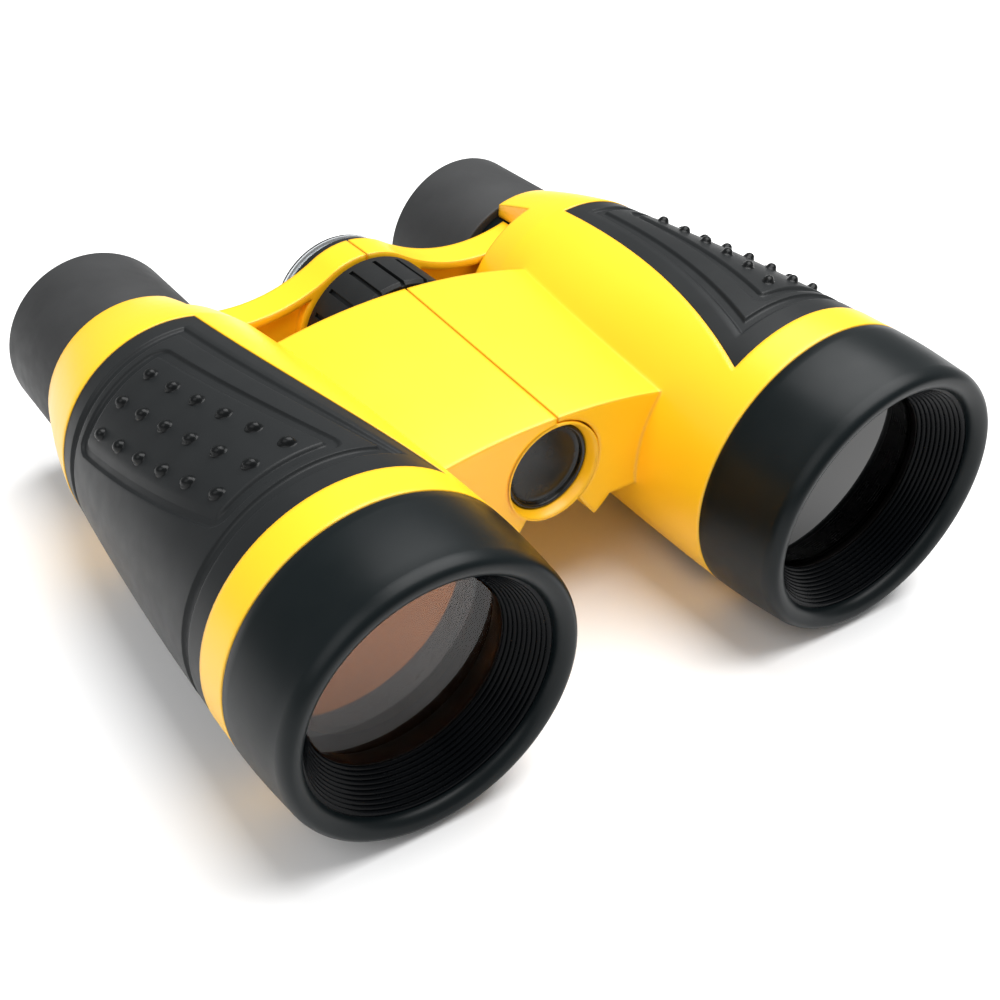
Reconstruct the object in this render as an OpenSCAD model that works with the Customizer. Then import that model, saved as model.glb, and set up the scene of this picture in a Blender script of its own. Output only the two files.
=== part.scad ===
// Toy folding binoculars: two barrels on a centre hinge, a focus wheel that drives
// the eyepiece arms along the hinge, and a small compass at the rear of the hinge.
// Each piece is drawn with Y = 0 at the front of the bezels, +Y towards the eyecups
// and Z = 0 on the barrel axes. The last step sets the whole part on Z = 0.

/* [Barrels] */
// Free width between the two barrels at their widest
barrel_gap = 30; // [28:0.5:36]
// Largest outer radius, where the bezel meets the yellow band
band_r = 21; // [19:0.1:23]
// Length of a shell from the bezel to the start of its rear shoulder
body_len = 55.5; // [50:0.5:62]
// Length of the rear shoulder down to the collar's end
collar_len = 13.9; // [13:0.1:15]
// Wall of a shell
shell_wall = 2.8; // [2.4:0.1:3]

/* [Bezels and objective lenses] */
// Length of a bezel
bezel_len = 13.3; // [12.5:0.1:15]
// Fall of the bezel's radius from the yellow band to the nose
nose_drop = 0.8; // [0.5:0.1:1.2]
// Length of the rounded nose
nose_len = 1.5; // [1.2:0.1:2]
// Width of the rounded nose, from its outside to the mouth
lip_w = 2.7; // [2.4:0.1:3.2]
// Length of the ribbed ring in the mouth
ring_len = 5.8; // [5.4:0.1:6.2]
// Number of light-stopping ribs in the mouth
rib_count = 10; // [6:1:14]
// Thickness of the objective lens at its edge
lens_edge = 2.2; // [1.8:0.1:2.6]
// Rise of each face of the objective lens
lens_rise = 0.9; // [0.5:0.1:1.2]

/* [Grips] */
// Distance of a grip's front edge behind the bezel
grip_front = 5.6; // [5:0.1:7]
// Distance of a grip's rear edge in front of the shoulder
grip_end = 1; // [0.6:0.1:2]
// Plan distance of the front inner corner from the barrel axis
grip_front_u = 12.9; // [11:0.1:13.5]
// Plan distance of the rear inner corner from the barrel axis
grip_rear_u = 3.5; // [2:0.1:5]
// Bow of the inner edge in plan
grip_bow = 1.75; // [1:0.05:2.5]
// Depth of a grip's face below the yellow shell
grip_inset = 0.1; // [0.05:0.05:0.4]
// Thickness of a grip
grip_t = 1.15; // [1:0.05:1.3]
// Radius of a grip bump
bump_r = 0.85; // [0.6:0.05:1]
// Depth of the channels round the bump panel
channel_depth = 0.45; // [0.3:0.05:0.6]

/* [Centre bridge and hinge] */
// Height of the hinge axis above the barrel axes
hinge_z = 3.8; // [3:0.1:4.5]
// Distance of the bridge's front face behind the bezels
bridge_start = 13.3; // [12.5:0.1:14.5]
// Distance of the bridge's rear face in front of the shoulders
bridge_setback = 5; // [4.5:0.1:6]
// Cover of the crown over the hinge knuckles, at the front
crown_cover = 0.95; // [0.8:0.05:1.3]
// Rise of the crown towards the rear, in degrees
bridge_tilt = 4.4; // [3:0.1:5]
// Radius of the crown's arch
arch_r = 95; // [80:1:120]
// Outer radius of the hinge knuckles
knuckle_r = 7.6; // [7.2:0.05:8]
// Angle that the right half folds down, in degrees
fold_angle = 65; // [50:1:68]

/* [Focus wheel and arms] */
// Step from the arms' eyes in to the focus wheel's rim
wheel_step = 0.35; // [0.2:0.05:0.8]
// Length of the focus wheel
wheel_len = 9.6; // [9:0.1:10.2]
// Number of grooves round the wheel
wheel_grooves = 18; // [12:1:24]
// Thickness of the eyepiece arms along the hinge
arm_t = 6; // [5.6:0.1:6.4]
// Wall of the arms' eyes round the hinge
eye_wall = 4.85; // [4.6:0.05:5.2]

/* [Eyepieces] */
// Outer radius of the sliding eyepiece tube
tube_r = 13; // [12:0.1:14]
// Wall of the eyepiece tube
tube_wall = 1.6; // [1.4:0.1:2]
// Wall of the eyecup round the tube
cup_wall = 1.5; // [1.2:0.1:2]
// Length of the eyecup
cup_len = 19.7; // [18:0.1:22]
// Edge thickness of the eye lens
eye_lens_edge = 2.3; // [2:0.1:2.8]

/* [Compass] */
// Step from the arms' eyes in to the compass case
case_step = 0.5; // [0.3:0.1:1]
// Thickness of the compass case
compass_len = 1.3; // [1.2:0.1:1.6]
// Length of the clear dome's straight skirt
skirt_len = 2.6; // [2.4:0.1:3.5]
// Rise of the dome over its skirt
dome_rise = 3; // [2.5:0.1:4]

/* [Clearances] */
// Gap of seated pieces in one body
seat_gap = 0.05; // [0.03:0.01:0.08]
// Radial running fit of turning pieces
run_gap = 0.05; // [0.02:0.01:0.08]
// Open gap between bodies that pass each other
open_gap = 0.3; // [0.25:0.05:0.4]

/* [Hidden] */
$fn = 96;
// Length by which cuts run past the faces they open
over = 1;
// Sides of a barrel: left is -X and right is +X, seen from the objective end
left = -1;
right = 1;
// Steps of the computed outlines
body_steps = 10;
collar_steps = 6;
nose_steps = 12;
edge_steps = 6;
dome_steps = 8;

// Stations along the barrels
shoulder_y = bezel_len + body_len;
collar_y = shoulder_y + collar_len;
cup_y = collar_y + open_gap;
total_len = cup_y + cup_len;
barrel_x = band_r + barrel_gap / 2;

// Rear bore for the eyepiece tube, the collar round it and the shoulder in front
tube_bore = tube_r + open_gap;
collar_wall = 1.9;
collar_r = tube_bore + collar_wall;
bulkhead_y = shoulder_y + collar_len / 4;
// Share of the step from collar to band that lies below the shoulder
shoulder_share = 0.57;
shoulder_r = collar_r + (band_r - collar_r) * shoulder_share;
// Share of the shoulder's fall that is a straight slope
collar_slope_share = 0.72;

// Nose, front spigot, lens seat and ribbed ring
nose_r = band_r - nose_drop;
lip_r = nose_r - lip_w;
ring_hide = 0.3;
spigot_bore = lip_r + ring_hide;
spigot_wall = 1.3;
spigot_r = spigot_bore + spigot_wall;
spigot_len = 7.5;
spigot_y = bezel_len - spigot_len;
ring_y = nose_len + seat_gap;
lens_y = ring_y + ring_len + seat_gap;
shelf_y = lens_y + lens_edge + seat_gap;
shelf_w = 2;
shelf_r = spigot_bore - shelf_w;
cavity_y = bezel_len + shell_wall / 2;
ring_step = 0.6;
ring_taper = 3.2;
ring_front_r = lip_r - ring_step;
ring_rear_r = ring_front_r - ring_taper;
rib_depth = 0.3;
lens_r = spigot_bore - seat_gap;
lens_face_r = ring_rear_r - seat_gap;

// Grip stations, pocket and panel lines
grip_y0 = bezel_len + grip_front;
grip_y1 = shoulder_y - grip_end;
grip_len = grip_y1 - grip_y0;
pocket_depth = grip_inset + grip_t;
channel_w = 1.9;
channel1_inset = 3;
channel1_end = 3.4;
channel2_inset = 7.8;
channel2_end = 6.2;
// Arc distance of the bump panel's lower edge from the inner edge
panel_w = 25.6;
panel_steps = 6;
bump_rows = 3;
bump_cols = 6;
bump_row_pitch = 5.2;
bump_first_row = 12.6;
// Places of the bump columns as shares of the grip's length
bump_first_share = 0.2147;
bump_pitch_share = 0.1137;

// Bow of the grip's inner edge as a circle through both corners
edge_du = grip_rear_u - grip_front_u;
edge_chord = norm([edge_du, grip_len]);
edge_r = (pow(edge_chord / 2, 2) + pow(grip_bow, 2)) / (2 * grip_bow);
edge_mid = [(grip_front_u + grip_rear_u) / 2, (grip_y0 + grip_y1) / 2];
edge_normal = [grip_len, -edge_du] / edge_chord;
edge_centre = edge_mid + edge_normal * (edge_r - grip_bow);

// Hinge stations: left knuckles at both ends, the right knuckle between them
bridge_front = bezel_len + bridge_start;
bridge_rear = shoulder_y - bridge_setback;
bridge_len = bridge_rear - bridge_front;
bridge_top = hinge_z + knuckle_r + crown_cover;
bridge_floor = -3.8;
wrap_wall = 5.55;
wrap_r = knuckle_r + wrap_wall;
seam_gap = open_gap;
knuckle_len = 8.2;
knuckle_proud = 0.3;
knuckle_front = bridge_front - knuckle_proud;
knuckle_cut = knuckle_r + open_gap;
middle_y0 = bridge_front + knuckle_len;
middle_y1 = bridge_rear - knuckle_len;
// The bottom gap is wider than the fold by a margin, and lies mostly on the right
fold_margin = 5;
gap_right_share = 0.56;
gap_right = (fold_angle + fold_margin) * gap_right_share;
gap_left = (fold_angle + fold_margin) - gap_right;
// Counterbore for the cap and the nut behind it, the hinge tube and the screw in it
knuckle_wall = 0.95;
cap_r = knuckle_r - knuckle_wall;
cap_ledge = 1.6;
hinge_tube_r = cap_r - cap_ledge;
hinge_wall = 2;
screw_r = hinge_tube_r - hinge_wall;
cap_depth = 2;
cap_y = bridge_front + cap_depth;
cap_t = 1.8;
cap_rim = 0.8;
cap_rim_w = 0.7;
cap_front = cap_y - cap_rim;
// Flared mouth of the front knuckle, down to the cap's rim
flare_wall = 0.25;
flare_r = knuckle_r - flare_wall;
nut_y = cap_y + cap_t + open_gap;
nut_t = 1.6;
nut_step = 0.4;
nut_r = hinge_tube_r - nut_step;
hinge_tube_y = nut_y + nut_t + open_gap;
screw_bore = screw_r + run_gap;

// Focus wheel and arm stations
eye_r = knuckle_r + eye_wall;
wheel_r = eye_r - wheel_step;
wheel_gap = 0.6;
wheel_y = bridge_rear + wheel_gap;
wheel_groove_w = 0.7;
wheel_groove_depth = 0.6;
wheel_groove_stop = 1;
wheel_bevel = 0.5;
wheel_rim = 3.9;
wheel_recess_r = wheel_r - wheel_rim;
wheel_recess = 1.2;
arm_gap = 0.9;
arm_y = wheel_y + wheel_len + arm_gap;
arm_rear = arm_y + arm_t;
arm_floor = -3;
// Recess in the front of an arm, inside a rim
web_depth = 1.5;
web_rim = 1.25;
// Reach of the arm's end over the tube, as a share of the tube's radius
saddle_share = 0.57;
arm_end = barrel_x - tube_r * (1 - saddle_share);
boss_wall = 2.4;
boss_r = screw_r + boss_wall;
boss_proud = 0.8;
screw_rear = arm_rear;
lap_y = arm_y + arm_t / 2;
// The dip is a circle that is tangent to the eye; its lowest point is set by shares
dip_x_share = 0.5833;
dip_rise_share = 0.532;
dip_x = barrel_x * dip_x_share;
dip_rise = eye_r * dip_rise_share;
dip_z = hinge_z + dip_rise;
dip_r = (pow(dip_x, 2) + pow(dip_rise, 2) - pow(eye_r, 2)) / (2 * (eye_r - dip_rise));
dip_dir = [dip_x, dip_rise + dip_r] / (dip_r + eye_r);
tangent_x = eye_r * dip_dir[0];
tangent_z = hinge_z + eye_r * dip_dir[1];

// Eyepiece stations
tube_lead = 2.8;
tube_y = bulkhead_y - tube_lead;
cup_socket = 5.6;
tube_rear = cup_y + cup_socket;
eye_lens_wall = 0.8;
eye_lens_r = tube_r - eye_lens_wall;
eye_lens_dish = 0.8;
cup_r = tube_r + cup_wall;
cup_shoulder_w = 2.5;
cup_shoulder_r = tube_r - cup_shoulder_w;
cup_shoulder_t = 1.5;
cup_lip = 1.6;
cup_mouth_r = cup_r - cup_lip;
cup_round = 1;

// Compass stations
compass_r = eye_r - case_step;
dome_step = 0.2;
dome_r = compass_r - dome_step;
dome_t = 0.9;
dome_bore = dome_r - dome_t;
case_gap = 0.4;
case_y = arm_rear + case_gap;
case_rear = case_y + compass_len;
dial_t = 0.6;
dial_y = case_rear + seat_gap;
pivot_r = 0.5;
pivot_base_r = 1.4;
pivot_base_t = 0.5;
pivot_y = dial_y + dial_t + seat_gap;
pivot_len = 2.2;
needle_t = 0.5;
needle_w = 2.4;
needle_len_share = 0.73;
needle_len = 2 * dome_bore * needle_len_share;
needle_y = pivot_y + pivot_base_t + open_gap;
needle_hub_r = 1.3;
dome_y = case_rear + seat_gap;
skirt_y = dome_y + skirt_len;

// Outer radius of a shell at a station: a gentle barrel, then the rear shoulder
function body_r(y) = band_r - (band_r - shoulder_r) * pow((y - bezel_len) / body_len, 2);
function fall(t) = collar_slope_share * t + (1 - collar_slope_share) * t * t;
function shoulder_at(y) = shoulder_r - (shoulder_r - collar_r) * fall((y - shoulder_y) / collar_len);
function shell_r(y) = y <= shoulder_y ? body_r(y) : shoulder_at(y);
// Points of the shell's outline, moved in by a depth
function body_line(depth) = [
    for (i = [0 : body_steps]) let (y = bezel_len + body_len * i / body_steps) [shell_r(y) - depth, y]
];
function collar_line(depth) = [
    for (i = [1 : collar_steps]) let (y = shoulder_y + collar_len * i / collar_steps)
        [shell_r(y) - depth, y]
];
// Plan distance and angle of the grip's inner edge at a station
function edge_u(y) = edge_centre[0] - sqrt(pow(edge_r, 2) - pow(y - edge_centre[1], 2));
function edge_angle(y) = acos(edge_u(y) / shell_r(y));

// Height of a line on the grip at an arc distance from its inner edge
function side_z(y, arc) = let (r = shell_r(y) - grip_inset) r * sin(edge_angle(y) + arc / r * 180 / PI);

// Radius of a ball cap from its edge radius and its rise, and its points from axis to edge
function ball_r(edge, rise) = (pow(edge, 2) + pow(rise, 2)) / (2 * rise);
function cap_height(edge, rise, r) =
    let (ball = ball_r(edge, rise)) sqrt(pow(ball, 2) - pow(r, 2)) - ball + rise;
function cap_line(edge, rise) = [
    for (i = [0 : dome_steps]) let (r = edge * i / dome_steps) [r, cap_height(edge, rise, r)]
];
function lifted(line, y, way) = [for (p = line) [p[0], y + way * p[1]]];
function reversed(line) = [for (i = [1 : len(line)]) line[len(line) - i]];

// Sets the part on the ground plane, centred along Y
module placed() {
    translate([0, -total_len / 2, band_r]) children();
}

// Turns an outline of radius and station round an axis along Y
module turned(x, z = 0) {
    translate([x, 0, z]) rotate([-90, 0, 0]) rotate_extrude() children();
}

// A round bar along Y between two stations
module bar(r, y0, y1, x = 0, z = 0) {
    translate([x, y0, z]) rotate([-90, 0, 0]) cylinder(r = r, h = y1 - y0);
}

// Extrudes an outline drawn in X and Z along Y between two stations
module along(y0, y1) {
    translate([0, y1, 0]) rotate([90, 0, 0]) linear_extrude(y1 - y0) children();
}

// Shells

// Solid outer form of a barrel with its front spigot
module barrel_form(side) {
    turned(side * barrel_x)
        polygon(concat(
            [[0, spigot_y], [spigot_r, spigot_y], [spigot_r, bezel_len]],
            body_line(0), collar_line(0), [[0, collar_y]]));
}

// Everything that is bored out of a barrel
module barrel_bores(side) {
    x = side * barrel_x;
    bar(spigot_bore, spigot_y - over, shelf_y, x);
    bar(shelf_r, spigot_y, cavity_y + over, x);
    bar(tube_bore, bulkhead_y - over, collar_y + over, x);
    turned(x)
        intersection() {
            polygon(concat(
                [[0, bezel_len]], body_line(shell_wall), collar_line(shell_wall), [[0, collar_y]]));
            translate([0, cavity_y]) square([band_r, bulkhead_y - cavity_y]);
        }
}

// Plan outline of a grip, set in from its edges; u runs from the barrel axis to the hinge
module grip_plan(inset, ends) {
    difference() {
        translate([-band_r - over, grip_y0 + ends])
            square([band_r + over + grip_front_u, grip_len - 2 * ends]);
        translate(edge_centre) circle(r = edge_r + inset, $fn = 360);
    }
}

// The plan outline as a tall block at a barrel
module grip_block(side, inset, ends) {
    translate([side * barrel_x, 0, -band_r - over])
        mirror([side == left ? 0 : 1, 0, 0])
            linear_extrude(2 * (band_r + over)) grip_plan(inset, ends);
}

// The layer of a barrel between two depths below its surface
module skin(side, top, bottom) {
    turned(side * barrel_x)
        polygon(concat(body_line(top), reversed(body_line(bottom))));
}

// Right half of the bridge in X and Z, before its crown and hinge cuts; side mirrors it
module bridge_outline(side) {
    mirror([side == left ? 1 : 0, 0])
        difference() {
            union() {
                translate([seam_gap / 2, bridge_floor])
                    square([barrel_x - seam_gap / 2, bridge_top + arch_r]);
                intersection() {
                    translate([0, hinge_z]) circle(r = wrap_r);
                    translate([seam_gap / 2, -wrap_r]) square([wrap_r, 2 * wrap_r]);
                }
            }
            bottom_gap(side == left ? gap_left : gap_right);
        }
}

// Wedge below the hinge that leaves room for the fold
module bottom_gap(angle) {
    reach = 2 * wrap_r;
    translate([0, hinge_z])
        polygon([[0, 0], [0, -reach], [reach * tan(angle), -reach]]);
}

// The crowned bridge of one side
module bridge(side) {
    intersection() {
        along(bridge_front, bridge_rear) bridge_outline(side);
        translate([0, bridge_front, bridge_top])
            rotate([bridge_tilt, 0, 0])
                translate([0, 0, -arch_r])
                    bar(arch_r, -arch_r, bridge_len + arch_r);
    }
}

// Slot in the collar through which the arm reaches the eyepiece tube
module arm_slot(side) {
    reach = barrel_x - eye_r;
    translate([side > 0 ? arm_end + open_gap - reach : -arm_end - open_gap,
               arm_y - open_gap, arm_floor - open_gap])
        cube([reach, collar_y - arm_y + over + open_gap, band_r * 2]);
}

// One yellow half: barrel, bridge and its own knuckles
module shell(side, own, other) {
    difference() {
        union() {
            difference() {
                union() {
                    barrel_form(side);
                    bridge(side);
                }
                for (span = other) bar(knuckle_cut, span[0], span[1], 0, hinge_z);
            }
            for (span = own) bar(knuckle_r, span[0], span[1], 0, hinge_z);
        }
        barrel_bores(side);
        intersection() {
            skin(side, -over, pocket_depth);
            grip_block(side, 0, 0);
        }
        arm_slot(side);
        children();
    }
}

module left_shell() {
    color("gold") shell(
        left,
        [[knuckle_front, middle_y0 - open_gap], [middle_y1 + open_gap, bridge_rear]],
        [[middle_y0 - open_gap, middle_y1 + open_gap]]
    ) {
        bar(hinge_tube_r + seat_gap, hinge_tube_y, bridge_rear + over, 0, hinge_z);
        bar(cap_r + seat_gap, knuckle_front - over, hinge_tube_y, 0, hinge_z);
        turned(0, hinge_z)
            polygon([
                [0, knuckle_front - over], [flare_r, knuckle_front - over], [flare_r, knuckle_front],
                [cap_r + seat_gap, cap_front], [0, cap_front]
            ]);
    }
}

module right_shell() {
    color("gold") shell(
        right,
        [[middle_y0, middle_y1]],
        [[knuckle_front - over, middle_y0], [middle_y1, bridge_rear + over]]
    ) {
        bar(hinge_tube_r + run_gap, middle_y0 - over, middle_y1 + over, 0, hinge_z);
    }
}

// Grips

// Bump panel volume: the plan outline cut off along a lower line that follows the inner edge
module panel(side, inset, ends, arc) {
    reach = 2 * band_r;
    intersection() {
        grip_block(side, inset, ends);
        translate([side * barrel_x - reach, 0, 0])
            rotate([90, 0, 90])
                linear_extrude(2 * reach)
                    polygon(concat(
                        [[grip_y1, reach], [grip_y0, reach]],
                        [for (i = [0 : panel_steps]) let (y = grip_y0 + grip_len * i / panel_steps)
                            [y, side_z(y, arc)]]));
    }
}

// Bumps in rows that keep their distance from the grip's inner edge
module bumps(side) {
    for (row = [0 : bump_rows - 1], col = [0 : bump_cols - 1]) {
        y = grip_y0 + grip_len * (bump_first_share + col * bump_pitch_share);
        r = shell_r(y) - grip_inset;
        angle = edge_angle(y) + (bump_first_row + row * bump_row_pitch) / r * 180 / PI;
        translate([side * (barrel_x - r * cos(angle)), y, r * sin(angle)]) sphere(r = bump_r);
    }
}

module grip(side) {
    color("dimgray") {
        difference() {
            intersection() {
                skin(side, grip_inset, pocket_depth - seat_gap);
                grip_block(side, seat_gap, seat_gap);
            }
            intersection() {
                skin(side, -over, grip_inset + channel_depth);
                difference() {
                    grip_block(side, channel1_inset, channel1_end);
                    grip_block(side, channel1_inset + channel_w, channel1_end + channel_w);
                }
            }
            intersection() {
                skin(side, -over, grip_inset + channel_depth);
                difference() {
                    panel(side, channel2_inset, channel2_end, panel_w + channel_w);
                    panel(side, channel2_inset + channel_w, channel2_end + channel_w, panel_w);
                }
            }
        }
        bumps(side);
    }
}

module left_grip() {
    grip(left);
}

module right_grip() {
    grip(right);
}

// Bezels and objective lenses

// Bezel: tapered outside, half-elliptic nose, bore for the ribbed ring, socket for the spigot
module bezel(side) {
    mid = (nose_r + lip_r) / 2;
    half = (nose_r - lip_r) / 2;
    color([0.15, 0.15, 0.16])
        turned(side * barrel_x)
            polygon(concat(
                [[band_r, bezel_len]],
                [for (i = [0 : nose_steps]) let (a = 180 * i / nose_steps)
                    [mid + half * cos(a), nose_len * (1 - sin(a))]],
                [[spigot_bore, nose_len], [spigot_bore, spigot_y - seat_gap],
                 [spigot_r + seat_gap, spigot_y - seat_gap], [spigot_r + seat_gap, bezel_len]]));
}

module left_bezel() {
    bezel(left);
}

module right_bezel() {
    bezel(right);
}

// Ribbed ring that stops stray light and holds the lens on its shelf
module lens_ring(side) {
    pitch = ring_len / rib_count;
    taper = (ring_front_r - ring_rear_r) / rib_count;
    color([0.1, 0.1, 0.12])
        turned(side * barrel_x)
            polygon(concat(
                [[lens_r, ring_y + ring_len], [lens_r, ring_y]],
                [for (i = [0 : rib_count - 1], step = [0, 1])
                    [ring_front_r - i * taper + step * rib_depth, ring_y + (i + step / 2) * pitch]],
                [[ring_rear_r, ring_y + ring_len]]));
}

module left_lens_ring() {
    lens_ring(left);
}

module right_lens_ring() {
    lens_ring(right);
}

// Double convex lens with a flat rim that the ring presses on the shelf
module objective_lens(side) {
    faces = cap_line(lens_face_r, lens_rise);
    color([0.75, 0.5, 0.35, 0.6])
        turned(side * barrel_x)
            polygon(concat(
                lifted(faces, lens_y, -1), [[lens_r, lens_y], [lens_r, lens_y + lens_edge]],
                lifted(reversed(faces), lens_y + lens_edge, 1)));
}

module left_lens() {
    objective_lens(left);
}

module right_lens() {
    objective_lens(right);
}

// Hinge and focus screw

module hinge_tube() {
    color("silver")
        difference() {
            bar(hinge_tube_r, hinge_tube_y, bridge_rear, 0, hinge_z);
            bar(screw_bore, hinge_tube_y - over, bridge_rear + over, 0, hinge_z);
        }
}

// Cap with a raised rim, set into the front knuckle
module front_cap() {
    color([0.12, 0.13, 0.13])
        difference() {
            bar(cap_r, cap_front, cap_y + cap_t, 0, hinge_z);
            bar(cap_r - cap_rim_w, cap_front - over, cap_y, 0, hinge_z);
        }
}

module focus_screw() {
    color("silver") bar(screw_r, nut_y, screw_rear, 0, hinge_z);
}

module screw_nut() {
    color("silver")
        difference() {
            bar(nut_r, nut_y, nut_y + nut_t, 0, hinge_z);
            bar(screw_r + seat_gap, nut_y - over, nut_y + nut_t + over, 0, hinge_z);
        }
}

// Wheel with broad flats between narrow grooves
module focus_wheel() {
    color([0.14, 0.14, 0.15])
        difference() {
            turned(0, hinge_z)
                polygon([
                    [screw_r + seat_gap, wheel_y], [wheel_r - wheel_bevel, wheel_y],
                    [wheel_r, wheel_y + wheel_bevel], [wheel_r, wheel_y + wheel_len],
                    [wheel_recess_r, wheel_y + wheel_len],
                    [wheel_recess_r, wheel_y + wheel_len - wheel_recess],
                    [screw_r + seat_gap, wheel_y + wheel_len - wheel_recess]
                ]);
            for (i = [0 : wheel_grooves - 1])
                translate([0, 0, hinge_z])
                    rotate([0, i * 360 / wheel_grooves, 0])
                        translate([-wheel_groove_w / 2, wheel_y - over, wheel_r - wheel_groove_depth])
                            cube([wheel_groove_w, wheel_len - wheel_groove_stop + over, wheel_groove_depth + over]);
        }
}

// Eyepiece arms

// Right arm in X and Z with its eye, dip and tube saddle; side mirrors it
module arm_outline(side) {
    mirror([side == left ? 1 : 0, 0])
        difference() {
            union() {
                intersection() {
                    translate([0, hinge_z]) circle(r = eye_r);
                    translate([seam_gap / 2, hinge_z - eye_r]) square([eye_r, 2 * eye_r]);
                }
                difference() {
                    translate([tangent_x, arm_floor]) square([arm_end - tangent_x, tangent_z - arm_floor]);
                    translate([dip_x, dip_z + dip_r]) circle(r = dip_r, $fn = 360);
                }
            }
            translate([barrel_x, 0]) circle(r = tube_r + seat_gap);
            bottom_gap(side == left ? gap_left : gap_right);
        }
}

// Recess in an arm's front between the eye, the dip and the tube saddle
module arm_web(side) {
    mirror([side == left ? 1 : 0, 0])
        difference() {
            translate([0, arm_floor + web_rim]) square([arm_end, tangent_z - arm_floor]);
            translate([0, hinge_z]) circle(r = eye_r);
            translate([dip_x, dip_z + dip_r]) circle(r = dip_r + web_rim, $fn = 360);
            translate([barrel_x, 0]) circle(r = tube_r + web_rim);
        }
}

// An arm: its own half of the lap reaches the hinge, the other half stays clear of it
module arm(side, own, other) {
    difference() {
        union() {
            difference() {
                along(arm_y, arm_rear) arm_outline(side);
                bar(knuckle_cut, other[0], other[1], 0, hinge_z);
            }
            bar(knuckle_r, own[0], own[1], 0, hinge_z);
            children(0);
        }
        along(arm_y - over, arm_y + web_depth) arm_web(side);
        children(1);
    }
}

module left_arm() {
    color("gold") arm(left, [arm_y, lap_y - open_gap / 2], [lap_y - open_gap / 2, arm_rear + over]) {
        bar(boss_r, arm_y, arm_rear + boss_proud, 0, hinge_z);
        bar(screw_bore, arm_y - over, arm_rear + boss_proud + over, 0, hinge_z);
    }
}

module right_arm() {
    color("gold") arm(right, [lap_y + open_gap / 2, arm_rear], [arm_y - over, lap_y + open_gap / 2]) {
        bar(knuckle_r, lap_y + open_gap / 2, arm_rear, 0, hinge_z);
        bar(boss_r + run_gap, arm_y - over, arm_rear + over, 0, hinge_z);
    }
}

// Eyepieces

module eyepiece_tube(side) {
    x = side * barrel_x;
    color([0.13, 0.13, 0.14])
        difference() {
            bar(tube_r, tube_y, tube_rear, x);
            bar(tube_r - tube_wall, tube_y - over, tube_rear + over, x);
            bar(eye_lens_r + seat_gap, tube_rear - eye_lens_edge - seat_gap, tube_rear + over, x);
        }
}

module left_eyepiece_tube() {
    eyepiece_tube(left);
}

module right_eyepiece_tube() {
    eyepiece_tube(right);
}

// Eyecup: socket for the tube, shoulder over the lens and a flared mouth
module eyecup(side) {
    shoulder_front = tube_rear + seat_gap;
    color([0.16, 0.16, 0.17])
        turned(side * barrel_x)
            polygon(concat(
                [[tube_r + seat_gap, cup_y], [cup_r, cup_y]],
                [for (i = [0 : edge_steps]) let (a = 90 * i / edge_steps)
                    [cup_r - cup_round * (1 - cos(a)), total_len - cup_round * (1 - sin(a))]],
                [[cup_mouth_r, total_len], [cup_shoulder_r, shoulder_front + cup_shoulder_t],
                 [cup_shoulder_r, shoulder_front], [tube_r + seat_gap, shoulder_front]]));
}

module left_eyecup() {
    eyecup(left);
}

module right_eyecup() {
    eyecup(right);
}

// Plano-concave eye lens, hollow towards the objective
module eye_lens(side) {
    front = tube_rear - eye_lens_edge;
    color([0.7, 0.75, 0.8, 0.5])
        turned(side * barrel_x)
            polygon(concat(
                lifted(cap_line(eye_lens_r - tube_wall, eye_lens_dish), front, 1),
                [[eye_lens_r, front], [eye_lens_r, tube_rear], [0, tube_rear]]));
}

module left_eye_lens() {
    eye_lens(left);
}

module right_eye_lens() {
    eye_lens(right);
}

// Compass

// Disc seated on the left arm's boss
module compass_case() {
    color([0.1, 0.1, 0.11])
        difference() {
            bar(compass_r, case_y, case_rear, 0, hinge_z);
            bar(boss_r + seat_gap, case_y - over, arm_rear + boss_proud + seat_gap, 0, hinge_z);
        }
}

module compass_dial() {
    color("white") bar(dome_bore - seat_gap, dial_y, dial_y + dial_t, 0, hinge_z);
}

// Pin with a foot on the dial
module compass_pivot() {
    color("goldenrod")
        turned(0, hinge_z)
            polygon([
                [0, pivot_y], [pivot_base_r, pivot_y], [pivot_base_r, pivot_y + pivot_base_t],
                [pivot_r, pivot_y + pivot_base_t], [pivot_r, pivot_y + pivot_len], [0, pivot_y + pivot_len]
            ]);
}

// Lozenge needle with a bored hub
module compass_needle() {
    color("crimson")
        difference() {
            union() {
                translate([0, 0, hinge_z])
                    along(needle_y, needle_y + needle_t)
                        polygon([
                            [0, needle_len / 2], [needle_w / 2, 0],
                            [0, -needle_len / 2], [-needle_w / 2, 0]
                        ]);
                bar(needle_hub_r, needle_y, needle_y + needle_t, 0, hinge_z);
            }
            bar(pivot_r + run_gap, needle_y - over, needle_y + needle_t + over, 0, hinge_z);
        }
}

// Clear cap of a ball on a straight skirt round the dial
module compass_dome() {
    color([0.8, 0.85, 0.9, 0.4])
        turned(0, hinge_z)
            polygon(concat(
                lifted(cap_line(dome_r, dome_rise), skirt_y, 1), [[dome_r, dome_y], [dome_bore, dome_y]],
                lifted(reversed(cap_line(dome_bore, dome_rise - dome_t)), skirt_y, 1)));
}

placed() left_shell();
placed() left_grip();
placed() left_bezel();
placed() left_lens_ring();
placed() left_lens();
placed() right_shell();
placed() right_grip();
placed() right_bezel();
placed() right_lens_ring();
placed() right_lens();
placed() hinge_tube();
placed() front_cap();
placed() focus_screw();
placed() focus_wheel();
placed() screw_nut();
placed() left_arm();
placed() left_eyepiece_tube();
placed() left_eyecup();
placed() left_eye_lens();
placed() right_arm();
placed() right_eyepiece_tube();
placed() right_eyecup();
placed() right_eye_lens();
placed() compass_case();
placed() compass_dial();
placed() compass_pivot();
placed() compass_needle();
placed() compass_dome();
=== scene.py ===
"""Looks of the toy binoculars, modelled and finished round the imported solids."""
import math

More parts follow.
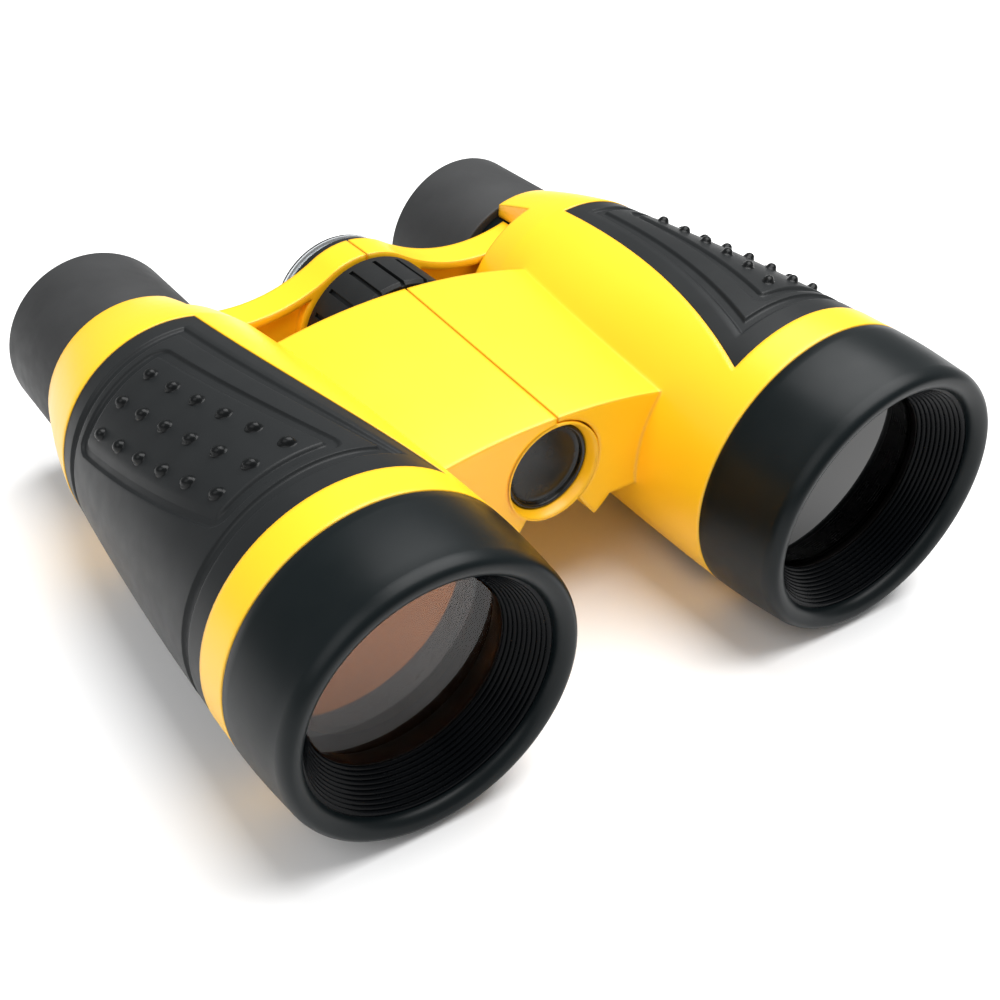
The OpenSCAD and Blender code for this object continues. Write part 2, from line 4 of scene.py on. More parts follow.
import bpy
from mathutils import Matrix, Vector


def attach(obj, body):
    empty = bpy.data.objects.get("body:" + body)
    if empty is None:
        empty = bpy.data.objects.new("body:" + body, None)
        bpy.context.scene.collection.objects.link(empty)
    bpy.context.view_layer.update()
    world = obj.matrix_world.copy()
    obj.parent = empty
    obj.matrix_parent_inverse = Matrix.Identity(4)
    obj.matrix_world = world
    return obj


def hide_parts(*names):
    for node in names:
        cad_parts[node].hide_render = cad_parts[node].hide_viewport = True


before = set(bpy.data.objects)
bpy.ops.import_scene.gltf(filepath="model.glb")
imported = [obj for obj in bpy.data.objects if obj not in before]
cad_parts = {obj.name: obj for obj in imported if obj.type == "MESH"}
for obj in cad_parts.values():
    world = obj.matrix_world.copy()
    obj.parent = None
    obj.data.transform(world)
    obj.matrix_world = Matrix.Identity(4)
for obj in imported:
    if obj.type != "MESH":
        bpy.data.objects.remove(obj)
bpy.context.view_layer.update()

MM = 0.001
FULL_TURN = 2 * math.pi
SIDES = (("left", -1), ("right", 1))

# Where the solids lie: millimetres from the front of the hoods and from the barrels' axes
FRONT_Y = -51.35
AXIS_Z = 21.0
BARREL_X = 36.0
HINGE_Z = 3.8

# Barrel: radius and rear end of the hood's seat, and how the skin narrows behind it
BAND_R = 21.0
BAND_Y = 13.3
TAPER_LEN = 55.5
TAPER_DROP = 2.494


def place(x, y, z):
    """A point of the row frame in metres, from millimetres off hood fronts and barrel axes."""
    return Vector((x * MM, (y + FRONT_Y) * MM, (z + AXIS_Z) * MM))


def linear(colour):
    """Linear colour of an sRGB hex value."""
    parts = [int(colour[i:i + 2], 16) / 255 for i in (1, 3, 5)]
    return tuple(c / 12.92 if c <= 0.04045 else ((c + 0.055) / 1.055) ** 2.4
                 for c in parts) + (1.0,)


def per_mm(size):
    """Texture scale that gives a pattern a size in millimetres, on coordinates in metres."""
    return 1 / (size * MM)


# Materials

# The part of a noise's range that is spread over a material's range
NOISE_SPAN = (0.3, 0.7)
# How far a gloss strays from its mean, as factors of the roughness
EVEN_GLOSS = (0.7, 1.3)
WAVY_GLOSS = (0.6, 1.6)
CLEAR_WAVE = 3.0
METAL_RELIEF = 0.003
BEVEL_SAMPLES = 6
# Colour sockets of the Mix node
MIX_A, MIX_B, MIX_OUT = 6, 7, 2
# Dial marks: how many, inner radius, and half width as a share of the pitch; and where they end
DIAL_MARKS = ((36, 8.2, 0.15), (12, 6.8, 0.035))
DIAL_MARK_END = 9.6


def add_node(tree, kind, settings=None, inputs=None):
    """Adds a node: settings are its properties, inputs its values or the sockets that feed it."""
    made = tree.nodes.new(kind)
    for name, value in (settings or {}).items():
        setattr(made, name, value)
    for name, value in (inputs or {}).items():
        if isinstance(value, bpy.types.NodeSocket):
            tree.links.new(value, made.inputs[name])
        else:
            made.inputs[name].default_value = value
    return made


def start_material(name, **sockets):
    """A named material with its shader; the sockets' constants are set on the shader itself."""
    material = bpy.data.materials.new(name)
    material.use_nodes = True
    tree = material.node_tree
    tree.nodes.clear()
    shader = add_node(tree, "ShaderNodeBsdfPrincipled", inputs=sockets)
    add_node(tree, "ShaderNodeOutputMaterial", inputs={"Surface": shader.outputs["BSDF"]})
    where = add_node(tree, "ShaderNodeTexCoord").outputs["Object"]
    return material, tree, shader, where


def noise(tree, where, size, detail=2.0):
    """Soft random pattern whose blobs are about this many millimetres across."""
    return add_node(tree, "ShaderNodeTexNoise", inputs={
        "Vector": where, "Scale": per_mm(size), "Detail": detail,
        "Roughness": 0.5}).outputs["Fac"]


def moulded(name, dark, light, cloud, gloss, grain, grain_high, edge, **sockets):
    """Injection-moulded plastic: cloudy pigment, uneven polish, fine spark grain, soft edges."""
    material, tree, shader, where = start_material(name, **sockets)
    low, high = NOISE_SPAN
    pigment = noise(tree, where, cloud, detail=3.0)
    tint = add_node(tree, "ShaderNodeValToRGB", inputs={"Fac": pigment})
    for stop, at, colour in zip(tint.color_ramp.elements, NOISE_SPAN, (dark, light)):
        stop.position = at
        stop.color = linear(colour)
    polish = add_node(tree, "ShaderNodeMapRange", inputs={
        "Value": noise(tree, where, cloud / 3, detail=4.0), "From Min": low, "From Max": high,
        "To Min": gloss[0], "To Max": gloss[1]})
    edges = add_node(tree, "ShaderNodeBevel", {"samples": BEVEL_SAMPLES}, {"Radius": edge * MM})
    relief = add_node(tree, "ShaderNodeBump", inputs={
        "Height": noise(tree, where, grain), "Distance": grain_high * MM, "Strength": 1.0,
        "Normal": edges.outputs["Normal"]})
    tree.links.new(tint.outputs["Color"], shader.inputs["Base Color"])
    tree.links.new(polish.outputs["Result"], shader.inputs["Roughness"])
    tree.links.new(relief.outputs["Normal"], shader.inputs["Normal"])
    return material


# ABS moulded in a polished tool: a strong warm yellow with a half gloss
yellow_abs = moulded(
    "Yellow ABS, moulded half gloss", "#FFC217", "#FFC51B", cloud=30.0, gloss=(0.31, 0.34),
    grain=0.35, grain_high=0.002, edge=0.9, IOR=1.54)
# Soft thermoplastic rubber, moulded satin: dark grey flats that turn pale at a low angle
grip_rubber = moulded(
    "Black TPE rubber, moulded satin", "#1B1D1E", "#1F2122", cloud=9.0, gloss=(0.38, 0.44),
    grain=0.22, grain_high=0.004, edge=0.15, **{"IOR": 1.5, "Specular IOR Level": 0.17})
# The same rubber from the polished pits of the tool, painted darker than the grip as painted shade
# on the domes, with one small hard light
bump_rubber_painted_shade = moulded(
    "Black TPE rubber, polished bumps, painted shade", "#0B0D0E", "#0E1011", cloud=9.0, gloss=(0.27, 0.33),
    grain=0.3, grain_high=0.002, edge=0.1, **{"IOR": 1.5, "Specular IOR Level": 0.17})
# ABS coloured blue-black, satin: one broad soft light on each curve
trim_abs = moulded(
    "Black ABS, moulded satin", "#080F11", "#0B1214", cloud=12.0, gloss=(0.33, 0.38),
    grain=0.25, grain_high=0.003, edge=0.15, **{"IOR": 1.54, "Specular IOR Level": 0.15})
# The same ABS with a polished thread, painted near-black navy as painted shade deep in the mouth,
# with a thin light on each rib
rib_abs_painted_shade = moulded(
    "Black ABS, moulded thread, painted shade", "#020406", "#030508", cloud=6.0, gloss=(0.22, 0.3),
    grain=0.3, grain_high=0.002, edge=0.05, **{"IOR": 1.54, "Specular IOR Level": 0.06})
# Polypropylene with a fine etched skin: even dark grey with hardly any highlight
cup_pp = moulded(
    "Black polypropylene, etched matte", "#232425", "#2A2B2C", cloud=8.0, gloss=(0.55, 0.66),
    grain=0.18, grain_high=0.008, edge=0.2, IOR=1.49)
# ABS from a polished tool: near black with a wavy gloss
cap_abs = moulded(
    "Black ABS, moulded gloss", "#0B0E0F", "#0F1213", cloud=6.0, gloss=(0.2, 0.3),
    grain=0.5, grain_high=0.006, edge=0.12, **{"IOR": 1.54, "Specular IOR Level": 0.4})
# ABS, lightly blasted tool: black teeth with thin light edges
wheel_abs = moulded(
    "Black ABS, blasted satin", "#121415", "#161819", cloud=6.0, gloss=(0.4, 0.48),
    grain=0.2, grain_high=0.004, edge=0.15, **{"IOR": 1.54, "Specular IOR Level": 0.22})
# Blackened back of a lens: swallows what gets through; as the disc behind the right lens its black
# is painted shade
dark_back = moulded(
    "Black lacquer, lens back", "#0B0908", "#100C0A", cloud=5.0, gloss=(0.5, 0.6),
    grain=0.3, grain_high=0.003, edge=0.1, IOR=1.5)


def polished(name, colour, alpha, roughness, wave):
    """A reflecting face: a mirror of one tint that lets the rest of the light through."""
    material, tree, shader, where = start_material(
        name, **{"Base Color": linear(colour), "Metallic": 1.0, "Alpha": alpha})
    smooth, rough = (roughness * factor for factor in EVEN_GLOSS)
    ripple = add_node(tree, "ShaderNodeMapRange", inputs={
        "Value": noise(tree, where, wave), "To Min": smooth, "To Max": rough})
    tree.links.new(ripple.outputs["Result"], shader.inputs["Roughness"])
    return material


# Clear moulded acrylic: its faces mirror a few hundredths of the light
lens_face = polished(
    "Clear acrylic lens, front face", "#747474", alpha=0.2, roughness=0.012, wave=4.0)
# The same acrylic on the right lens, made one plain dark mirror: its black is painted shade
right_lens_painted_shade = polished(
    "Clear acrylic lens, dark mirror, painted shade", "#414141", alpha=1.0, roughness=0.012, wave=4.0)
# An amber tinted mirror over dark behind the left lens, painted light of the lit inside of the
# barrel
left_lens_amber_painted_light = polished(
    "Amber mirror, painted light", "#8C4D06", alpha=1.0, roughness=0.02, wave=5.0)


def clear(name, tint, roughness):
    """Clear moulded plastic: see-through, with a slight ripple in its gloss."""
    material, tree, shader, where = start_material(
        name, **{"Base Color": linear(tint), "IOR": 1.49, "Transmission Weight": 1.0})
    smooth, rough = (roughness * factor for factor in WAVY_GLOSS)
    ripple = add_node(tree, "ShaderNodeMapRange", inputs={
        "Value": noise(tree, where, CLEAR_WAVE), "To Min": smooth, "To Max": rough})
    tree.links.new(ripple.outputs["Result"], shader.inputs["Roughness"])
    return material


# Clear acrylic, moulded and polished: an eye lens with hardly any colour of its own
eye_acrylic = clear("Clear acrylic, moulded lens", "#F4F6F6", roughness=0.02)
# Clear polystyrene, moulded: a dome with a grey body colour and a softer gloss
dome_styrene = clear("Clear polystyrene, moulded dome", "#C8CCCE", roughness=0.05)


def metal(name, colour, roughness, grain):
    """Plain metal: a fine grain that breaks up the shine."""
    material, tree, shader, where = start_material(
        name, **{"Base Color": linear(colour), "Metallic": 1.0})
    smooth, rough = (roughness * factor for factor in EVEN_GLOSS)
    marks = add_node(tree, "ShaderNodeMapRange", inputs={
        "Value": noise(tree, where, grain, detail=4.0), "To Min": smooth, "To Max": rough})
    relief = add_node(tree, "ShaderNodeBump", inputs={
        "Height": noise(tree, where, grain), "Distance": METAL_RELIEF * MM, "Strength": 1.0})
    tree.links.new(marks.outputs["Result"], shader.inputs["Roughness"])
    tree.links.new(relief.outputs["Normal"], shader.inputs["Normal"])
    return material


# Drawn and turned steel: a dull grey shine on the pins of the hinge
steel = metal("Steel, drawn and turned", "#B4B6B8", roughness=0.32, grain=0.4)
# Turned brass: a small warm point in the compass
brass = metal("Brass, turned", "#C9A24E", roughness=0.28, grain=0.3)


def dial_card():
    """White coated card with a printed ring of 36 marks, every third one longer."""
    material, tree, shader, where = start_material(
        "White card, printed", **{"IOR": 1.45, "Roughness": 0.5})
    centred = add_node(tree, "ShaderNodeMapping", inputs={
        "Vector": where, "Location": (0, 0, -place(0, 0, HINGE_Z).z)})
    parts = add_node(tree, "ShaderNodeSeparateXYZ", inputs={"Vector": centred.outputs["Vector"]})
    across, up = parts.outputs["X"], parts.outputs["Z"]
    angle = add_node(tree, "ShaderNodeMath", {"operation": "ARCTAN2"},
                     {0: across, 1: up}).outputs["Value"]
    flat = add_node(tree, "ShaderNodeCombineXYZ", inputs={"X": across, "Y": up})
    radius = add_node(tree, "ShaderNodeVectorMath", {"operation": "LENGTH"},
                      {0: flat.outputs["Vector"]}).outputs["Value"]
    printed = None
    for count, inner, half_width in DIAL_MARKS:
        turn = add_node(tree, "ShaderNodeMath", {"operation": "MULTIPLY"},
                        {0: angle, 1: count / FULL_TURN})
        near = add_node(tree, "ShaderNodeMath", {"operation": "PINGPONG"},
                        {0: turn.outputs["Value"], 1: 0.5})
        mark = add_node(tree, "ShaderNodeMath", {"operation": "LESS_THAN"},
                        {0: near.outputs["Value"], 1: half_width})
        out = add_node(tree, "ShaderNodeMath", {"operation": "GREATER_THAN"},
                       {0: radius, 1: inner * MM})
        end = add_node(tree, "ShaderNodeMath", {"operation": "LESS_THAN"},
                       {0: radius, 1: DIAL_MARK_END * MM})
        band = add_node(tree, "ShaderNodeMath", {"operation": "MULTIPLY"},
                        {0: out.outputs["Value"], 1: end.outputs["Value"]})
        tick = add_node(tree, "ShaderNodeMath", {"operation": "MULTIPLY"},
                        {0: band.outputs["Value"], 1: mark.outputs["Value"]})
        printed = tick if printed is None else add_node(
            tree, "ShaderNodeMath", {"operation": "MAXIMUM"},
            {0: printed.outputs["Value"], 1: tick.outputs["Value"]})
    ink = add_node(tree, "ShaderNodeMix", {"data_type": "RGBA"}, {
        "Factor": printed.outputs["Value"], MIX_A: linear("#EDEBE4"), MIX_B: linear("#1C1C1E")})
    tree.links.new(ink.outputs[MIX_OUT], shader.inputs["Base Color"])
    return material


def needle_paint():
    """Thin steel needle, one half dipped in red lacquer and the other left white."""
    material, tree, shader, where = start_material(
        "Needle lacquer, dipped", **{"IOR": 1.5, "Roughness": 0.35})
    parts = add_node(tree, "ShaderNodeSeparateXYZ", inputs={"Vector": where})
    upper = add_node(tree, "ShaderNodeMath", {"operation": "GREATER_THAN"},
                     {0: parts.outputs["Z"], 1: place(0, 0, HINGE_Z).z})
    paint = add_node(tree, "ShaderNodeMix", {"data_type": "RGBA"}, {
        "Factor": upper.outputs["Value"], MIX_A: linear("#E6E4DE"), MIX_B: linear("#C21A14")})
    tree.links.new(paint.outputs[MIX_OUT], shader.inputs["Base Color"])
    return material


# Modelling

# Steps of a full spin, the angle in degrees up to which an edge is smooth, and the weld distance
SPIN, SMOOTH, WELD = 128, 40, 0.002


def draw_line(name, points):
    """A chain of edges through the points, extruded one vertex after another."""
    bpy.ops.object.select_all(action="DESELECT")
    bpy.ops.mesh.primitive_plane_add(size=MM)
    piece = bpy.context.object
    piece.name = piece.data.name = name
    bpy.ops.object.mode_set(mode="EDIT")
    bpy.ops.mesh.select_all(action="SELECT")
    bpy.ops.mesh.merge(type="CENTER")
    bpy.ops.transform.translate(value=points[0])
    for start, end in zip(points, points[1:]):
        bpy.ops.mesh.extrude_vertices_move(TRANSFORM_OT_translate={"value": end - start})
    return piece


def spin_round(centre, axis, steps):
    """Spins the drawn line a full turn, welds it and points its faces outwards."""
    bpy.ops.mesh.select_all(action="SELECT")
    bpy.ops.mesh.spin(steps=steps, angle=FULL_TURN, center=centre, axis=axis)
    bpy.ops.mesh.select_all(action="SELECT")
    bpy.ops.mesh.remove_doubles(threshold=WELD * MM)
    bpy.ops.mesh.normals_make_consistent(inside=False)
    bpy.ops.object.mode_set(mode="OBJECT")


def turned(name, outline, x, z, steps=SPIN, smooth=SMOOTH):
    """A turned piece round an axis along the barrels, from (radius, y) points."""
    piece = draw_line(name, [place(x + r, y, z) for r, y in outline])
    spin_round(place(x, 0, z), (0, 1, 0), steps)
    bpy.ops.object.shade_smooth_by_angle(angle=math.radians(smooth))
    return piece


def arc(centre, radii, start, end, steps):
    """Points of an elliptic arc in a turned outline; angles in degrees from +radius towards +y."""
    turns = [math.radians(start + (end - start) * i / steps) for i in range(steps + 1)]
    return [(centre[0] + radii[0] * math.cos(t), centre[1] + radii[1] * math.sin(t))
            for t in turns]


def roll(shape, start, end):
    """Points of a round roll given as (centre, radius, steps)."""
    centre, radius, steps = shape
    return arc(centre, (radius, radius), start, end, steps)


def dish(edge_y, rise, radius, steps=12):
    """Points of a shallow face from its middle to its edge; the middle stands rise further on."""
    ball = (radius ** 2 + rise ** 2) / (2 * abs(rise))
    sign = math.copysign(1, rise)
    return [(radius * i / steps,
             edge_y + rise - sign * (ball - math.sqrt(ball ** 2 - (radius * i / steps) ** 2)))
            for i in range(steps + 1)]


def dress(piece, body, slot, material, *nodes):
    """Finishes a new piece: what it rides on, its finish, and the solids that it stands for."""
    piece.data.materials.clear()
    piece.data.materials.append(material)
    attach(piece, body)
    if nodes:
        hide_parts(*nodes)
    return piece


def barrel_r(y):
    """Radius of the barrel's skin behind the hood."""
    return BAND_R - TAPER_DROP * ((y - BAND_Y) / TAPER_LEN) ** 2


# Hoods, ribbed rings and lenses

# Hood: its nose and lip, the side just inside the barrel's band, the rear edge and the socket
NOSE_R, LIP_R, NOSE_LEN = 20.3, 17.1, 1.8
CREST_R, NOSE_ROLL = 19.0, 2.2
LIP_STEPS, NOSE_STEPS, SIDE_STEPS = 12, 20, 8
HOOD_R, HOOD_EDGE = 20.995, 0.3
HOOD_CORNER = ((0.12, 0.08), (0.3, 0.0))
SOCKET_R, MOUTH_BORE, SPIGOT_Y = 19.15, 17.8, 5.75
HOOD_SPIN = 160
# Ribbed ring: its ends, and one rib as (share of the pitch, depth below the crest)
RING_Y, RING_R, RING_OUT = (1.85, 7.35), (16.75, 13.7), 17.75
RIBS, RIB_DEEP, RIB_SMOOTH = 10, 0.3, 50
RIB = ((0.0, RIB_DEEP), (0.16, 0.12), (0.34, 0.0), (0.62, 0.0), (0.82, 0.14))
# Lens: y of its two faces and their bulges, the disc behind it, and the sleeve round both
LENS_FACES, LENS_FACE_R = {"left": (7.5, 9.25), "right": (8.1, 8.5)}, 13.65
FRONT_BULGE, BACK_BULGE = -0.1, 0.02
BACK_DISC_Y, BACK_DISC_R, BACK_DISC_BULGE, BACK_DISC_THICK = 11.25, 15.2, 0.04, 0.3
SLEEVE = [(13.9, 7.5), (14.6, 8.4), (15.25, 9.7), (15.25, 11.6), (15.75, 11.6), (15.75, 9.7),
          (17.6, 9.55), (17.6, 7.5)]
LENS_SPIN = 96


def hood_outline():
    """Outline of a hood: a round nose, a faintly swelling side and a stepped socket inside."""
    nose = (arc((CREST_R, NOSE_LEN), (CREST_R - LIP_R, NOSE_LEN), -180, -90, LIP_STEPS)
            + arc((CREST_R, NOSE_ROLL), (NOSE_R - CREST_R, NOSE_ROLL), -90, 0, NOSE_STEPS)[1:])
    rise, run = HOOD_R - NOSE_R, BAND_Y - HOOD_EDGE - NOSE_ROLL
    shares = [i / SIDE_STEPS for i in range(1, SIDE_STEPS + 1)]
    side = [(NOSE_R + rise * math.sin(math.pi / 2 * t), NOSE_ROLL + run * t) for t in shares]
    corner = [(HOOD_R - inset, BAND_Y - short) for inset, short in HOOD_CORNER]
    socket = [(SOCKET_R, BAND_Y), (SOCKET_R, SPIGOT_Y), (MOUTH_BORE, SPIGOT_Y),
              (MOUTH_BORE, NOSE_LEN)]
    return nose + side + corner + socket + nose[:1]


def ring_outline():
    """Outline of a ribbed ring: rounded ribs like a coarse thread, narrowing towards the lens."""
    pitch = (RING_Y[1] - RING_Y[0]) / RIBS
    fall = (RING_R[1] - RING_R[0]) / RIBS
    inside = [(RING_R[0] + fall * (i + t) + deep, RING_Y[0] + pitch * (i + t))
              for i in range(RIBS) for t, deep in RIB]
    outside = [(RING_R[1] + RIB_DEEP, RING_Y[1]), (RING_OUT, RING_Y[1]), (RING_OUT, RING_Y[0])]
    return inside + outside + inside[:1]


def objective(side, sign):
    """Hood, ribbed ring and lens of one barrel."""
    x, body = sign * BARREL_X, side + "_half"
    hood = turned(side + "_hood", hood_outline(), x, 0, HOOD_SPIN)
    dress(hood, body, "black_trim", trim_abs, side + "_bezel")
    ring = turned(side + "_ribbed_ring", ring_outline(), x, 0, smooth=RIB_SMOOTH)
    # The ribbed ring takes the ABS painted darker than the hood, as painted shade inside the mouth
    dress(ring, body, "black_trim", rib_abs_painted_shade, side + "_lens_ring")
    front_y, back_y = LENS_FACES[side]
    front = dish(front_y, FRONT_BULGE, LENS_FACE_R)
    back = dish(back_y, BACK_BULGE, LENS_FACE_R)
    face = turned(side + "_lens_front", front + back[::-1], x, 0, LENS_SPIN)
    # On the right the lens face is one dark mirror, painted shade
    dress(face, body, "coated_lens", lens_face if side == "left" else right_lens_painted_shade, side + "_lens")
    near = dish(BACK_DISC_Y, BACK_DISC_BULGE, BACK_DISC_R)
    far = [(r, y + BACK_DISC_THICK) for r, y in near[::-1]]
    back_disc = turned(side + "_lens_back_disc", near + far, x, 0, LENS_SPIN)
    # Behind the left lens the amber mirror is painted light; behind the right one the dark disc is
    # painted shade
    dress(back_disc, body, "coated_lens", left_lens_amber_painted_light if side == "left" else dark_back)
    sleeve = turned(side + "_lens_sleeve", SLEEVE + SLEEVE[:1], x, 0, LENS_SPIN)
    dress(sleeve, body, "black_trim", dark_back)


# Grips

# Grip: its two ends, its top edge in plan as an arc, and how it sits on the barrel
GRIP_Y = (18.95, 67.75)
EDGE_CENTRE, EDGE_R = (181.27, 76.62), 177.99
GRIP_SINK, GRIP_SEAT, GRIP_DEEP = 0.1, 0.05, 1.02
GRIP_SMOOTH = 45
# Flat sheet: a strip along each edge keeps its width, the middle one takes up the barrel's taper
FOLLOWED_ARC, MIDDLE_ARC = 28.0, 20.0
SHEET_W = 2 * FOLLOWED_ARC + MIDDLE_ARC
# Channels: the outer one as two insets from the edge, further in at the front, and an inner loop
CHANNEL_DEEP, CHANNEL_WALL = 0.45, 0.42
OUTER_CHANNEL, FRONT_SHIFT = (3.0, 4.95), 0.35
INNER_LOOP_S, INNER_LOOP_Y = (7.8, 27.5), (25.05, 61.8)
INNER_LOOP_CORNER, INNER_LOOP_W = 2.4, 1.95
# Cuts of the sheet: their spacing, and the spans from each edge and each end that are cut finely
COARSE_CUT, FINE_CUT = 1.0, 0.15
FINE_ACROSS = ((2.4, 5.4), (7.4, 10.0), (25.2, 28.0))
FINE_FRONT, FINE_REAR = (2.6, 8.6), (2.4, 8.4)
# Bumps: where they stand on the sheet, and half the outline of one as (radius, height)
BUMP_ROWS, BUMP_COLUMNS = (12.6, 17.8, 23.0), 6
BUMP_FIRST_Y, BUMP_PITCH = 29.4, 5.56
BUMP = ((1.25, -0.3), (1.22, -0.04), (1.08, 0.0), (0.97, 0.08), (0.87, 0.26), (0.76, 0.48),
        (0.58, 0.68), (0.32, 0.81), (0.0, 0.85))
BUMP_SPIN = 16


def channel_share(s, y):
    """How deep the grip's channels are at a point of its flat sheet, from 0 on the flats to 1."""
    inset = min(s, y - GRIP_Y[0] - FRONT_SHIFT, GRIP_Y[1] - y)
    outer = min(inset - OUTER_CHANNEL[0], OUTER_CHANNEL[1] - inset)
    half_s, half_y = ((b - a) / 2 - INNER_LOOP_CORNER for a, b in (INNER_LOOP_S, INNER_LOOP_Y))
    off_s = abs(s - sum(INNER_LOOP_S) / 2) - half_s
    off_y = abs(y - sum(INNER_LOOP_Y) / 2) - half_y
    out = (math.hypot(max(off_s, 0), max(off_y, 0)) + min(max(off_s, off_y), 0)
           - INNER_LOOP_CORNER)
    loop = min(-out, out + INNER_LOOP_W)
    t = min(max(max(outer, loop) / CHANNEL_WALL, 0), 1)
    return t * t * (3 - 2 * t)


def cut_lines(low, high, fine):
    """Where a flat sheet is cut: every millimetre, and more closely inside the fine spans."""
    lines, at = [], low
    while at < high:
        at += FINE_CUT if any(a <= at <= b for a, b in fine) else COARSE_CUT
        lines.append(min(at, high))
    return lines[:-1]


def flat_grip():
    """The grip as a flat sheet: arc distance from its top edge along X, barrel length along Y."""
    y0, y1 = GRIP_Y
    bpy.ops.object.select_all(action="DESELECT")
    bpy.ops.mesh.primitive_plane_add(size=MM)
    sheet = bpy.context.object
    bpy.ops.object.mode_set(mode="EDIT")
    bpy.ops.mesh.select_all(action="SELECT")
    bpy.ops.transform.resize(value=(SHEET_W, y1 - y0, 1))
    bpy.ops.transform.translate(value=(SHEET_W / 2 * MM, (y0 + y1) / 2 * MM, 0))
    fine_far = tuple((SHEET_W - b, SHEET_W - a) for a, b in FINE_ACROSS)
    across = cut_lines(0, SHEET_W, FINE_ACROSS + fine_far)
    along = cut_lines(y0, y1, ((y0 + FINE_FRONT[0], y0 + FINE_FRONT[1]),
                               (y1 - FINE_REAR[1], y1 - FINE_REAR[0])))
    for normal, lines in (((1, 0, 0), across), ((0, 1, 0), along)):
        for at in lines:
            bpy.ops.mesh.select_all(action="SELECT")
            bpy.ops.mesh.bisect(plane_co=Vector(normal) * at * MM, plane_no=normal)
    bpy.ops.mesh.select_all(action="SELECT")
    bpy.ops.mesh.extrude_region_move(TRANSFORM_OT_translate={"value": (0, 0, -GRIP_DEEP * MM)})
    bpy.ops.mesh.select_all(action="SELECT")
    bpy.ops.mesh.normals_make_consistent(inside=False)
    bpy.ops.object.mode_set(mode="OBJECT")
    channels = sheet.vertex_groups.new(name="channels")
    between = (OUTER_CHANNEL[1] + INNER_LOOP_S[0]) / 2
    for v in sheet.data.vertices:
        s, y, z = v.co / MM
        if z > -GRIP_DEEP / 2:
            underside = s > FOLLOWED_ARC + MIDDLE_ARC / 2
            deep = channel_share(SHEET_W - s, y) if underside else channel_share(s, y)
            # The lower half has the outer channel alone
            if underside and min(SHEET_W - s, y - y0, y1 - y) > between:
                deep = 0
            channels.add([v.index], deep, "REPLACE")
    press = sheet.modifiers.new("Channels", "DISPLACE")
    press.direction, press.mid_level, press.strength = "Z", 0.0, -CHANNEL_DEEP * MM
    press.vertex_group = channels.name
    bpy.ops.object.modifier_apply(modifier=press.name)
    return sheet


def bump_copies():
    """The domed bumps of a flat grip: one is spun and the rest are copies of it."""
    first = draw_line("bump", [Vector((r * MM, 0, h * MM)) for r, h in BUMP])
    spin_round((0, 0, 0), (0, 0, 1), BUMP_SPIN)
    copies = []
    for s in BUMP_ROWS:
        for i in range(BUMP_COLUMNS):
            bpy.ops.object.select_all(action="DESELECT")
            first.select_set(True)
            bpy.context.view_layer.objects.active = first
            bpy.ops.object.duplicate()
            copy = bpy.context.object
            bpy.ops.object.mode_set(mode="EDIT")
            bpy.ops.mesh.select_all(action="SELECT")
            bpy.ops.transform.translate(value=(s * MM, (BUMP_FIRST_Y + BUMP_PITCH * i) * MM, 0))
            bpy.ops.object.mode_set(mode="OBJECT")
            copies.append(copy)
    bpy.data.objects.remove(first)
    return copies


def edge_angle(y):
    """Angle of the grip's top edge on the barrel, up from the side that faces the hinge."""
    u = EDGE_CENTRE[0] - math.sqrt(EDGE_R ** 2 - (y - EDGE_CENTRE[1]) ** 2)
    return math.acos(u / barrel_r(y))


def under_angle(y):
    """Angle of the grip's lower edge, the mirror of its top edge."""
    return FULL_TURN - edge_angle(y)


def wrap_grip(piece, sign):
    """Lays the flat grip round the barrel; the middle strip takes up the barrel's taper."""
    for v in piece.data.vertices:
        s, y, h = v.co / MM
        r = barrel_r(y)
        length = (under_angle(y) - edge_angle(y)) * r - 2 * GRIP_SEAT
        if s <= FOLLOWED_ARC:
            on = s
        elif s >= FOLLOWED_ARC + MIDDLE_ARC:
            on = length - (SHEET_W - s)
        else:
            on = FOLLOWED_ARC + (length - 2 * FOLLOWED_ARC) * (s - FOLLOWED_ARC) / MIDDLE_ARC
        angle = edge_angle(y) + (on + GRIP_SEAT) / r
        out = r - GRIP_SINK + h
        v.co = place(sign * (BARREL_X - out * math.cos(angle)), y, out * math.sin(angle))


def lay(piece, name, side, sign, material, *nodes):
    """Wraps a flat piece of the grip round its barrel and finishes it."""
    piece.name = piece.data.name = name
    wrap_grip(piece, sign)
    bpy.ops.object.select_all(action="DESELECT")
    piece.select_set(True)
    bpy.context.view_layer.objects.active = piece
    bpy.ops.object.mode_set(mode="EDIT")
    bpy.ops.mesh.select_all(action="SELECT")
    bpy.ops.mesh.normals_make_consistent(inside=False)
    bpy.ops.object.mode_set(mode="OBJECT")
    bpy.ops.object.shade_smooth_by_angle(angle=math.radians(GRIP_SMOOTH))
    dress(piece, side + "_half", "black_grip", material, *nodes)


def grip(side, sign):
    """One grip: a channelled sheet, and its bumps joined to one piece."""
    lay(flat_grip(), side + "_channelled_grip", side, sign, grip_rubber, side + "_grip")
    bumps = bump_copies()
    bpy.ops.object.select_all(action="DESELECT")
    for bump in bumps:
        bump.select_set(True)
    bpy.context.view_layer.objects.active = bumps[0]
    bpy.ops.object.join()
    # The bumps carry the rubber painted darker, as painted shade
    lay(bumps[0], side + "_grip_bumps", side, sign, bump_rubber_painted_shade)


# Eyecups, cap and compass

# Eyecup: its rolls as (centre, radius, steps), and its inside from the shoulder to the foot
CUP_FOOT = ((14.2, 83.3), 0.3, 4)
CUP_RIM, CUP_LIP = ((13.5, 101.7), 1.0, 8), ((13.3, 102.3), 0.4, 5)
CUP_INSIDE = [(10.8, 90.35), (10.6, 90.15), (10.5, 90.0), (10.5, 88.65), (13.05, 88.65),
              (13.05, 83.0)]
